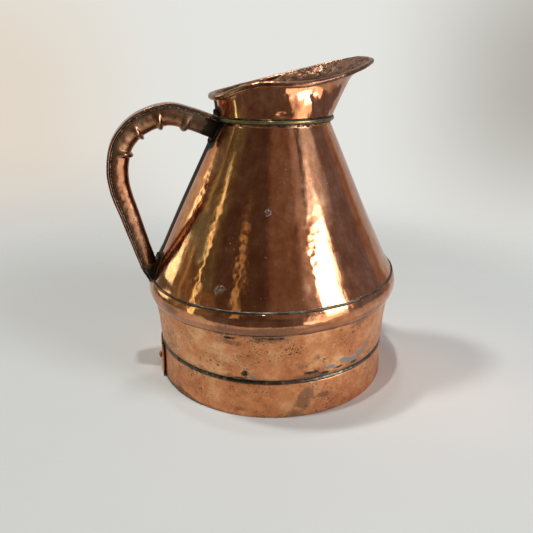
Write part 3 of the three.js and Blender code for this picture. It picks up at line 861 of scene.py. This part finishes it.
rim = {
    "wire": 2.5, "swell": 0.95, "swellFades": (-10, 75), "roll": 0.45, "inset": 0.3,
    "turns": 900, "sides": 28,
    "waves": [(0.22, (8, 8, 8), 91), (0.16, (3.2, 3.2, 3.2), 94)], "hammered": [(0.12, 4.5, 92)],
}


def rimWire():
    # the sheet rolled over its wire: a tube whose radius grows slowly round it and steps back where
    # the rolled edge ends against the wall outside, thicker away from the spout and hammered unevenly
    r = rim
    centre = rimPoint(np.linspace(0, fullTurn, r["turns"], endpoint=False))
    turn = np.linspace(0, 1, r["sides"], endpoint=False)[None, :]
    swell = r["swell"] * (1 - smoothStep(centre[:, None, 0], *r["swellFades"]))
    roll = r["wire"] + swell - r["roll"] * smoothStep((turn + 0.3) % 1, 0, 0.9)
    plain = loopTube(centre, roll, r["sides"], [0, 0, 1])
    roll = roll + uneven(plain, r["waves"], r["hammered"]) - r["inset"]
    grid = loopTube(centre, roll, r["sides"], [0, 0, 1])
    marks = {"filmAndShade": 0.1 + 0.3 * lumps(grid, 12, 93)}
    addPiece("rimWire", grid, brownCopper, "rim_wire", marks)


ring = {
    "radius": 56.4, "height": 259.3, "out": 1.4, "half": 1.7, "inside": 54.9, "turns": 540, "inset": 0.08,
    "waves": [(0.12, (9, 9, 9), 95)], "hammered": [(0.03, 3.5, 96)],
}


def neckRing():
    # a half-round brass moulding with a flat back
    r = ring
    turn = np.linspace(-np.pi / 2, np.pi / 2, 15)
    front = np.stack([r["radius"] + r["out"] * np.cos(turn), r["height"] + r["half"] * np.sin(turn)], 1)
    back = [[r["inside"], r["height"] + r["half"]], [r["inside"], r["height"] - r["half"]]]

    def push(points):
        return uneven(points, r["waves"], r["hammered"]) - r["inset"]

    grid = carried(np.vstack([front, back]), r["turns"], push)
    edge = np.abs(grid[..., 2] - r["height"])
    marks = {"patinaAndShade": np.maximum(0.7 * smoothStep(edge, 0.9, 1.6), 1.1 * nearJoints(grid)),
             "filmAndShade": np.full(edge.shape, 0.25)}
    addPiece("neckRing", grid, rubbedBrass, "neck_ring", marks)


neckCollar()
rimWire()
neckRing()
bead("neckSolderLower", "neck_solder_lower",
     [[55.1, 257.3], [56.4, 257.4], [55.5, 256.7], [54.9, 256.7]], 0.3, 97)
bead("neckSolderUpper", "neck_solder_upper",
     [[56.5, 261.3], [57.3, 261.3], [56.8, 262.1], [56.3, 262]], 0.3, 99)


# Handle

handle = {
    "line": [[-50, 259], [-78.3, 269.6], [-99, 274.2], [-121.3, 269.4], [-139.8, 258.6], [-153.2, 241.4],
             [-158.8, 217], [-156.9, 195.6], [-147.4, 166], [-133.4, 124.1], [-127.8, 105.5]],
    "length": 259.4, "sheet": 1.4, "strap": 2.8, "gap": 0.35, "breadth": (22, 17), "depth": (20.8, 16.4),
    "ridges": [0.127, 0.255, 0.362, 0.487], "ridgeHeight": 2.7, "ridgeHalf": 3.9,
}

# The jug's outline behind, as [radius, height], which the handle's lines end on
wallLine = np.array([[121.9, 86], [124, 88], [125.7, 93], [127, 98.5], [127.4, 102.5], [126.9, 105.6],
                     [125.4, 108], [123.9, 110], [54.9, 254.6], [55.3, 257.4], [57.6, 258.6], [57.6, 260],
                     [56.3, 261.4], [56.3, 290]])


def handleFrame(f):
    # point and inward direction on the handle's back line at shares f of its length
    dense = curveThrough(handle["line"], 1600)
    at = np.linspace(0, 1, 1600)
    slope = unit(np.gradient(dense, axis=0))
    x, z = np.interp(f, at, dense[:, 0]), np.interp(f, at, dense[:, 1])
    inX, inZ = np.interp(f, at, -slope[:, 1]), np.interp(f, at, slope[:, 0])
    return x, z, inX, inZ


def handlePoint(f, inward, sideways):
    # a place at shares f of the handle's length, by its distances inward of the back line and sideways
    x, z, inX, inZ = handleFrame(f)
    return np.stack([x + inX * inward, sideways, z + inZ * inward], -1)


def breadthAt(f):
    # narrows smoothly over the lower part
    return mix(*handle["breadth"], smoothStep(f, 0.3, 1))


def depthAt(f):
    # grows shallower smoothly over the lower part
    return mix(*handle["depth"], smoothStep(f, 0.45, 0.95))


def roundedSquare(turn, power):
    # cosine and sine with their sizes raised to a power below 1, which fills out the corners
    return (np.sign(np.cos(turn)) * np.abs(np.cos(turn)) ** power,
            np.sign(np.sin(turn)) * np.abs(np.sin(turn)) ** power)


def ridgeAt(f):
    # a rounded ridge at each finger station: one less the square of the distance along the handle, to a
    # power that blunts it
    total = 0 * f
    for station in handle["ridges"]:
        away = np.clip(np.abs(f - station) * handle["length"] / handle["ridgeHalf"], 0, 1)
        total = total + handle["ridgeHeight"] * (1 - away ** 2) ** 0.9
    return total


def trimmed(section, rows):
    # a section(f) of [inward, sideways] swept along the handle; every line of it starts at the last
    # step of its upper stretch, and ends at the first of its lower one, that is inside the jug's wall
    steps, upper, lower = 1500, 250, 1200
    f = np.linspace(0, 1, steps)[:, None]
    points = handlePoint(f + 0 * section(f)[0], *section(f))
    radius = np.hypot(points[..., 0], points[..., 1])
    wall = np.interp(points[..., 2], wallLine[:, 1], wallLine[:, 0])
    inside = radius <= wall - 0.3
    top, low = inside[:upper], inside[lower:]
    start = np.where(top.any(0), upper - np.argmax(top[::-1], axis=0), 0) / (steps - 1)
    end = np.where(low.any(0), lower + np.argmax(low, axis=0) - 1, steps - 1) / (steps - 1)
    share = np.linspace(0, 1, rows)[:, None]
    place = mix(start[None, :], end[None, :], share)
    return place, handlePoint(place, *section(place))


def gripSection(f):
    # the round side: an arc from edge to edge, then the same arc a sheet further in
    h = handle
    outerPoints, innerPoints = 41, 25
    t = np.concatenate([np.linspace(0, np.pi, outerPoints), np.linspace(np.pi, 0, innerPoints)])[None, :]
    shrink = np.where(np.arange(outerPoints + innerPoints) < outerPoints, 0, h["sheet"])[None, :]
    half = breadthAt(f) / 2 - shrink
    edge = h["strap"] + h["gap"]
    depth = depthAt(f) - shrink - edge
    bulge = ridgeAt(f) * smoothStep(np.sin(t), 0.05, 0.6) * (shrink == 0)
    across, _ = roundedSquare(t, 0.8)
    return edge + depth * np.maximum(np.sin(t), 0) ** 0.75 + bulge * np.sin(t), (half + bulge) * across


def strapSection(f):
    # a flat strip with rounded edges, drawn thinner at the tip
    t = np.linspace(0, fullTurn, 56, endpoint=False)[None, :]
    half = breadthAt(f) / 2 + 0.5
    thick = handle["strap"] * (1 - 0.35 * smoothStep(f, 0.965, 1))
    across, through = roundedSquare(t, 0.35)
    return handle["strap"] - thick / 2 + through * thick / 2, half * across


def seamSection(side):
    # a small fillet, roughened by two sines along it, where the strap's edge stands out past the grip
    def section(f):
        t = np.linspace(0, fullTurn, 10, endpoint=False)[None, :]
        half = breadthAt(f) / 2
        rough = 1 + 0.35 * np.sin(f * 310 + side) * np.sin(f * 127 + 2 * side)
        inward = handle["strap"] + 0.75 + 0.75 * np.sin(t) * rough
        return inward + 0 * f, side * (half + 0.25 + 0.55 * np.cos(t) * rough)
    return section


def handlePiece(name, node, section, marksOf, material, rough, seed, rows=420):
    # a swept section, moved away from the handle's middle by lumps and blows that fade at its ends
    place, grid = trimmed(section, rows)
    middle = handlePoint(place, handle["depth"][1] / 2 + 0 * place, 0 * place)
    away = unit(grid - middle)
    shape = rough * uneven(grid, [(1, 8, seed), (0.6, 3.5, seed + 1)], [(0.35, 5, seed + 2)])
    ends = smoothStep(place, 0, 0.06) * (1 - smoothStep(place, 0.94, 1))
    x, z, inX, inZ = handleFrame(place)
    inward = (grid[..., 0] - x) * inX + (grid[..., 2] - z) * inZ
    marks = marksOf(place, inward)
    marks["flow"] = np.stack([inward, grid[..., 1], handle["length"] * place], -1) * mm
    grid = grid + away * (shape * ends - 0.1)[..., None]
    addPiece(name, grid, material, node, marks, fanned=True)


def gripMarks(place, inward):
    # dark along the solder seams and at both ends, olive above, and rubbed matte below
    seam = 1 - smoothStep(inward, 3.4, 5.6)
    ends = np.maximum(1 - smoothStep(place, 0.03, 0.1), smoothStep(place, 0.9, 0.965))
    upper = 1 - smoothStep(place, 0.46, 0.58)
    return {"patinaAndShade": np.maximum(0.5 * seam, 0.75 * ends), "green": 0.1 * ends, "olive": 0.5 * upper,
            "filmAndShade": 0.45 * (1 - smoothStep(place, 0.05, 0.2)) - 0.12 * smoothStep(place, 0.5, 0.8),
            "matte": 0.4 * smoothStep(place, 0.5, 0.85)}


def strapMarks(place, inward):
    # dark at both ends and green where dark, a little browner below
    ends = np.maximum(1 - smoothStep(place, 0.02, 0.1), smoothStep(place, 0.88, 0.96))
    return {"patinaAndShade": 0.6 * ends, "green": np.full(inward.shape, 0.4),
            "filmAndShade": 0.2 * smoothStep(place, 0.5, 0.8)}


def noMarks(place, inward):
    # solder is the same all over
    return {}


def jointSolder(name, node, middle, halfHeight, halfBreadth, seed):
    # a lumpy bead on the jug's wall round one end of the handle, on a rounded square
    points, sides = 320, 12
    up, across = roundedSquare(np.linspace(0, fullTurn, 260, endpoint=False), 0.6)
    y = halfBreadth * across
    z = middle + halfHeight * up
    radius = np.interp(z, wallLine[:, 1], wallLine[:, 0]) + 0.5
    centre = np.stack([-np.sqrt(radius ** 2 - y ** 2), y, z], -1)
    centre = evenly(np.vstack([centre, centre[:1]]), points + 1)[:-1]
    size = 0.95 + uneven(centre, [(0.4, 6, seed), (0.2, 2.4, seed + 1)])
    grid = loopTube(centre, np.broadcast_to(size[:, None], (points, sides)), sides, [-1, 0, 0])
    addPiece(name, grid, greySolder, node, {"patinaAndShade": np.full(grid.shape[:2], 0.75)})


handlePiece("handleGrip", "handle_grip", gripSection, gripMarks, brownCopper, 0.16, 101)
handlePiece("handleStrap", "handle_strap", strapSection, strapMarks, brownCopper, 0.16, 104)
seams = ((-1, "handleSeamNear", "handle_seam_near"), (1, "handleSeamFar", "handle_seam_far"))
for side, name, node in seams:
    handlePiece(name, node, seamSection(side), noMarks, greySolder, 0.12, 107 + side, rows=700)
jointSolder("handleTopSolder", "handle_top_solder", 252, 14.2, 14, 111)
jointSolder("handleBottomSolder", "handle_bottom_solder", 120, 10.6, 11.5, 114)


# Light, floor and camera

view = {
    "distance": 555.4, "height": 309.4, "azimuth": -104, "yaw": -0.0093, "pitch": -0.3513,
    "lens": 37.82, "sensor": 36, "clipStart": 0.01,
}
outward = np.array([math.cos(math.radians(view["azimuth"])), math.sin(math.radians(view["azimuth"])), 0])
rightward = np.array([-outward[1], outward[0], 0])


def hang(thing, place, aim):
    # a camera or a light put at a place in metres and turned to look along its aim
    thing.location = place
    thing.rotation_euler = Vector(aim).to_track_quat("-Z", "Y").to_euler()
    bpy.context.scene.collection.objects.link(thing)


def towards(bearing):
    # level direction from the jug at a bearing right of the camera's side
    return outward * math.cos(math.radians(bearing)) + rightward * math.sin(math.radians(bearing))


def makeCamera():
    # the camera stands at an azimuth from the jug's axis, and its aim is turned by yaw and pitch
    place = outward * view["distance"] + [bandMiddle, 0, view["height"]]
    level = math.sin(view["yaw"]) * rightward - math.cos(view["yaw"]) * outward
    aim = math.cos(view["pitch"]) * level + [0, 0, math.sin(view["pitch"])]
    camera = bpy.data.objects.new("camera", bpy.data.cameras.new("camera"))
    camera.data.lens = view["lens"]
    camera.data.sensor_width = view["sensor"]
    camera.data.clip_start = view["clipStart"]
    hang(camera, place * mm, aim)
    bpy.context.scene.camera = camera


# Tones of the studio: bearings in degrees right of the camera's side, heights above level. The first
# list is what the metal mirrors and the second what the camera sees past the floor
roomTones = [
    {"colour": (0.094, 0.078, 0.070)},
    {"bearing": 0, "height": -50, "wide": 180, "tall": 50, "soft": 6, "colour": (0.13, 0.12, 0.12)},
    {"bearing": 20, "height": 33, "wide": 23, "tall": 22, "soft": 9, "colour": (0.225, 0.187, 0.165)},
    {"bearing": 28, "height": 0, "wide": 12, "tall": 14, "soft": 9, "colour": (0.16, 0.13, 0.115)},
    {"bearing": 97, "height": 10, "wide": 28, "tall": 70, "soft": 10, "colour": (0.20, 0.205, 0.26)},
    {"bearing": 123, "height": 22, "wide": 6, "tall": 34, "soft": 3, "colour": (0.33, 0.25, 0.19)},
    {"bearing": -95, "height": 5, "wide": 34, "tall": 70, "soft": 10, "colour": (0.15, 0.17, 0.115)},
    {"bearing": -76, "height": 7, "wide": 24, "tall": 10, "soft": 6, "colour": (0.22, 0.175, 0.12)},
    {"bearing": -122, "height": 18, "wide": 14, "tall": 15, "soft": 9, "colour": (0.65, 0.62, 0.45)},
    {"bearing": -93, "height": 25, "wide": 8, "tall": 8, "soft": 6, "colour": (0.10, 0.105, 0.08)},
    {"bearing": 90, "height": -38, "wide": 17, "tall": 13, "soft": 8, "colour": (0.5, 0.46, 0.42)},
    {"bearing": 180, "height": 5, "wide": 50, "tall": 50, "soft": 6, "colour": (0.55, 0.55, 0.53)},
    {"bearing": 40, "height": 15, "wide": 6, "tall": 34, "soft": 5, "colour": (0.45, 0.45, 0.48)},
    {"bearing": 70, "height": 38, "wide": 13, "tall": 13, "soft": 8, "colour": (0.8, 0.95, 1.1)},
    {"bearing": 60, "height": 28, "wide": 7, "tall": 5, "soft": 4, "colour": (1.7, 2.0, 2.3)},
    {"bearing": 50, "height": -14, "wide": 18, "tall": 24, "soft": 8, "colour": (1.2, 1.18, 1.1)},
    {"bearing": 55, "height": -14, "wide": 11, "tall": 24, "soft": 6, "colour": (2.3, 2.35, 2.25)},
    {"bearing": 56, "height": 2, "wide": 9, "tall": 6, "soft": 4, "colour": (4, 4.3, 4.6)},
    {"bearing": 37, "height": -17, "wide": 9, "tall": 7, "soft": 5, "colour": (2.4, 2.4, 2.3)},
    {"bearing": 30, "height": -44, "wide": 14, "tall": 9, "soft": 8, "colour": (1.1, 1.0, 0.95)},
    {"bearing": -111, "height": 8, "wide": 7, "tall": 9, "soft": 3, "colour": (2.4, 2.9, 2.2)},
    {"bearing": -74, "height": 8, "wide": 2.0, "tall": 24, "soft": 1.2, "colour": (2.4, 3.0, 2.0)},
    {"bearing": -92, "height": 20, "wide": 1.5, "tall": 26, "soft": 1.2, "colour": (0.6, 0.65, 0.4)},
    {"bearing": -33, "height": 20, "wide": 3.4, "tall": 13, "soft": 4, "colour": (0.72, 0.7, 0.42)},
    {"bearing": 0, "height": 90, "wide": 190, "tall": 33, "soft": 7, "colour": (0.5, 0.47, 0.43)},
]
# the backdrop's darker patches low at the left and at the right are painted shade
backdropTones = [
    {"colour": (0.78, 0.78, 0.745)},
    {"bearing": -150, "height": -5, "wide": 14, "tall": 12, "soft": 18, "colour": (0.76, 0.68, 0.58)},
    {"bearing": -158, "height": -17, "wide": 10, "tall": 5, "soft": 12, "colour": (0.62, 0.61, 0.58)},
    {"bearing": 152, "height": -1, "wide": 11, "tall": 10, "soft": 18, "colour": (0.45, 0.43, 0.39)},
    {"bearing": 0, "height": -45, "wide": 190, "tall": 28, "soft": 12, "colour": (0.60, 0.60, 0.575)},
]
dimmed = 0.88  # share of the tones' light that matt surfaces don't get


def makeRoom():
    # patches of colour with soft edges laid one over another, each where the ray's bearing and height
    # are both within its half width and half height
    world = bpy.data.worlds.new("room")
    bpy.context.scene.world = world
    world.use_nodes = True
    world.node_tree.nodes.clear()
    s = Shade(world.node_tree)
    ray = s.node("TexCoord", None, None, "Generated")

    def along(axis):
        return s.node("VectorMath", {"operation": "DOT_PRODUCT"}, {0: ray, 1: tuple(axis)}, "Value")

    def layered(tones):
        total = rgba(tones[0]["colour"])
        for patch in tones[1:]:
            apart = s.node("Math", {"operation": "WRAP"}, {0: bearing - patch["bearing"], 1: 180, 2: -180})
            across = s.node("Math", {"operation": "ABSOLUTE"}, {0: apart})
            up = s.node("Math", {"operation": "ABSOLUTE"}, {0: height - patch["height"]})
            half = patch["soft"] / 2
            sideways = 1 - across.between(patch["wide"] - half, patch["wide"] + half)
            upright = 1 - up.between(patch["tall"] - half, patch["tall"] + half)
            total = s.blend(sideways * upright, total, rgba(patch["colour"]))
        return s.node("Background", None, {"Color": total, "Strength": strength})

    bearing = s.calculate("ARCTAN2", along(rightward), along(outward)) * (180 / math.pi)
    height = s.node("Math", {"operation": "ARCSINE"}, {0: along((0, 0, 1))}) * (180 / math.pi)
    strength = 1 - dimmed * s.node("LightPath", None, None, "Is Diffuse Ray")
    eye = s.node("LightPath", None, None, "Is Camera Ray")
    both = s.node("MixShader", None, {0: eye, 1: layered(roomTones), 2: layered(backdropTones)})
    s.node("OutputWorld", None, {"Surface": both})


# Lamps face the jug from their bearing, in degrees right of the camera's side, and their height, in
# degrees above level. The glow is what the copper throws down on the table beside it
lamps = [
    {"name": "window", "bearing": 56, "height": 17, "away": 1.8, "size": (0.6, 0.66), "power": 17.5,
     "colour": (0.94, 1, 1.07)},
    {"name": "lamp", "bearing": -95, "height": 68, "away": 2.3, "size": (0.2, 0.2), "power": 18,
     "colour": (1, 0.99, 0.97)},
    {"name": "backLamp", "bearing": -150, "height": 81, "away": 2.3, "size": (0.2, 0.2), "power": 5,
     "colour": (1, 0.99, 0.97)},
    {"name": "ceilingLamp", "bearing": -28, "height": 79.5, "away": 2.3, "size": (0.08, 0.08),
     "power": 15.5, "colour": (1, 0.99, 0.97)},
]
lampTarget = np.array([bandMiddle * mm, 0, 0.15])
glow = {"name": "glow", "bearing": 68, "away": 0.19, "rise": 0.11, "tilt": 0.3, "size": (0.06, 0.06),
        "power": 0.013, "colour": (1, 0.42, 0.25)}


def makeLight(lamp, place, aim, mirrored=True):
    # a rectangle of light that the camera doesn't see
    data = bpy.data.lights.new(lamp["name"], "AREA")
    data.shape = "RECTANGLE"
    data.size, data.size_y = lamp["size"]
    data.energy = lamp["power"]
    data.color = lamp["colour"]
    light = bpy.data.objects.new(lamp["name"], data)
    light.visible_camera = False
    light.visible_glossy = mirrored
    hang(light, place, aim)


def makeLights():
    # each lamp at its distance from a point on the jug's axis, and the glow above the table
    for lamp in lamps:
        rise = math.radians(lamp["height"])
        back = towards(lamp["bearing"]) * math.cos(rise) + [0, 0, math.sin(rise)]
        makeLight(lamp, back * lamp["away"] + lampTarget, -back)
    level = towards(glow["bearing"])
    place = level * glow["away"] + [bandMiddle * mm, 0, glow["rise"]]
    makeLight(glow, place, level * glow["tilt"] + [0, 0, -1], mirrored=False)


# The table in metres: it fades out between the distances given, from the middle, towards the camera
# and sideways
table = {
    "radius": 1.5, "corners": 96, "cloud": (7, 3, 0.5),
    "dark": (0.68, 0.69, 0.675), "pale": (0.73, 0.735, 0.715),
    "fades": (0.28, 0.8), "frontFades": (0.262, 0.31), "sideFades": (0.46, 0.75),
}


def makeFloor():
    # a pale disc, a little cloudy, that fades out far away, and nearer at the camera's side
    t = table
    angle = np.linspace(0, fullTurn, t["corners"], endpoint=False)
    mesh = bpy.data.meshes.new("floor")
    mesh.from_pydata(turned(t["radius"], angle, 0).tolist(), [], [list(range(t["corners"]))])
    floor = bpy.data.objects.new("floor", mesh)
    bpy.context.scene.collection.objects.link(floor)
    material = bpy.data.materials.new("paleFloor")
    material.use_nodes = True
    material.node_tree.nodes.clear()
    s = Shade(material.node_tree)
    place = s.node("TexCoord", None, None, "Object")
    away = s.node("VectorMath", {"operation": "LENGTH"}, {0: place}, "Value")
    front = s.node("VectorMath", {"operation": "DOT_PRODUCT"}, {0: place, 1: tuple(outward)}, "Value")
    side = s.node("VectorMath", {"operation": "DOT_PRODUCT"}, {0: place, 1: tuple(rightward)}, "Value")
    side = s.node("Math", {"operation": "ABSOLUTE"}, {0: side})
    tone = s.blend(s.noise(place, *t["cloud"]), rgba(t["dark"]), rgba(t["pale"]))
    paper = s.node("BsdfPrincipled", None, {"Base Color": tone, "Roughness": 1, "Specular IOR Level": 0})
    clear = s.node("BsdfTransparent")
    gone = away.between(*t["fades"]).atLeast(front.between(*t["frontFades"]))
    gone = gone.atLeast(side.between(*t["sideFades"]))
    both = s.node("MixShader", None, {0: gone, 1: paper, 2: clear})
    s.node("OutputMaterial", None, {"Surface": both})
    mesh.materials.append(material)


makeCamera()
makeRoom()
makeLights()
makeFloor()
bpy.context.scene.view_settings.view_transform = "Standard"
print("light, floor and camera done")
